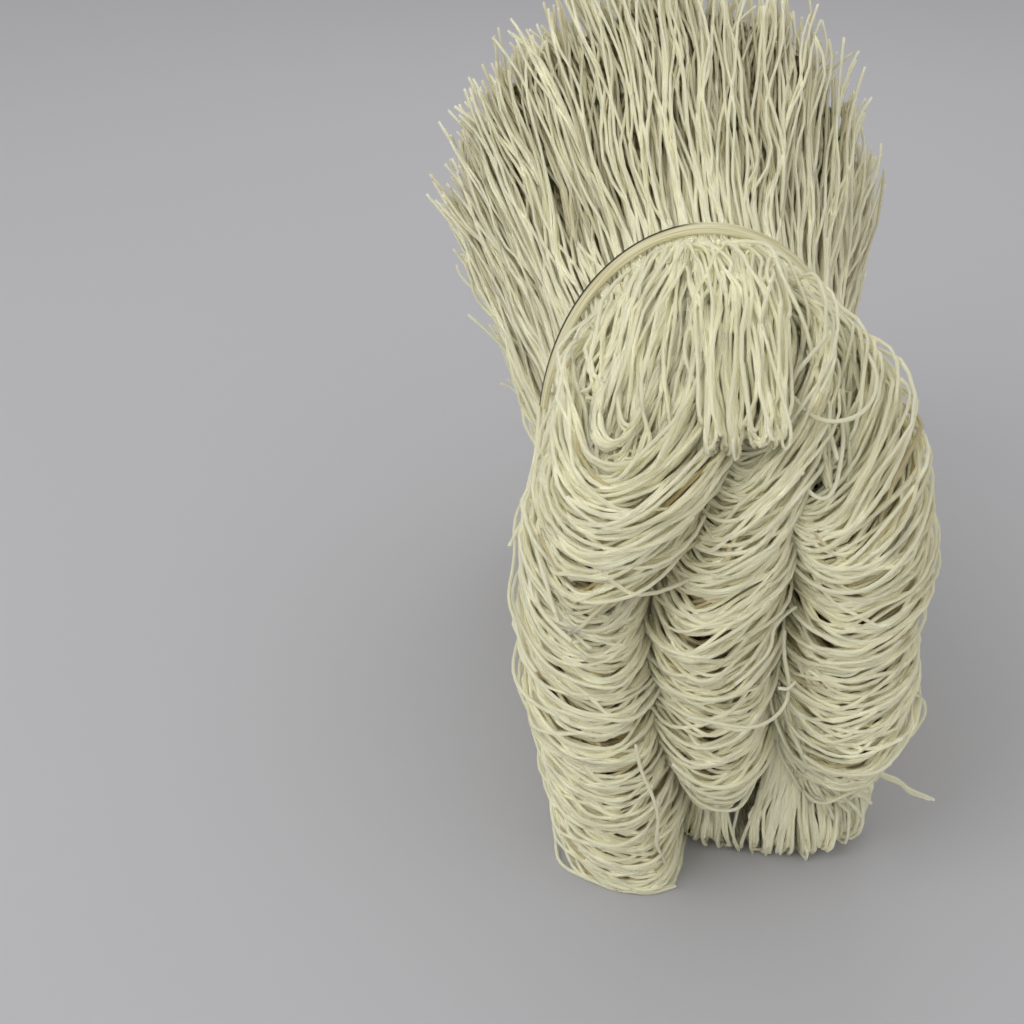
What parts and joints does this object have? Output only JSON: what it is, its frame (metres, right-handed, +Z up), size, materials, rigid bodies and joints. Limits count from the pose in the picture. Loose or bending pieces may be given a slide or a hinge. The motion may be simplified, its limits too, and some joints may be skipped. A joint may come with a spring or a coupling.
{
  "type": "tied sheaf of dried rice vermicelli",
  "caption": "Sheaf of dried rice vermicelli folded into stacked bends and tied at the neck with a strip of split bamboo, its cut ends fanned out; it lies on its side.",
  "frame": {"origin": "middle of the underside of the sheaf as it lies", "axes": "+Y from the bends in front to the cut ends behind, +Z up, +X to the right seen from the bends"},
  "size_m": [0.143, 0.2251, 0.2027],
  "materials": {
    "noodles": "dried rice noodle, ivory with a faint green-grey cast, slightly translucent, soft gloss",
    "bamboo": "split bamboo strip, pale straw, fine lengthwise fibres, a dark skin line along one edge"
  },
  "bodies": {
    "root": {"noodle_bundle": "noodles", "bamboo_tie": "bamboo"}
  },
  "joints": []
}
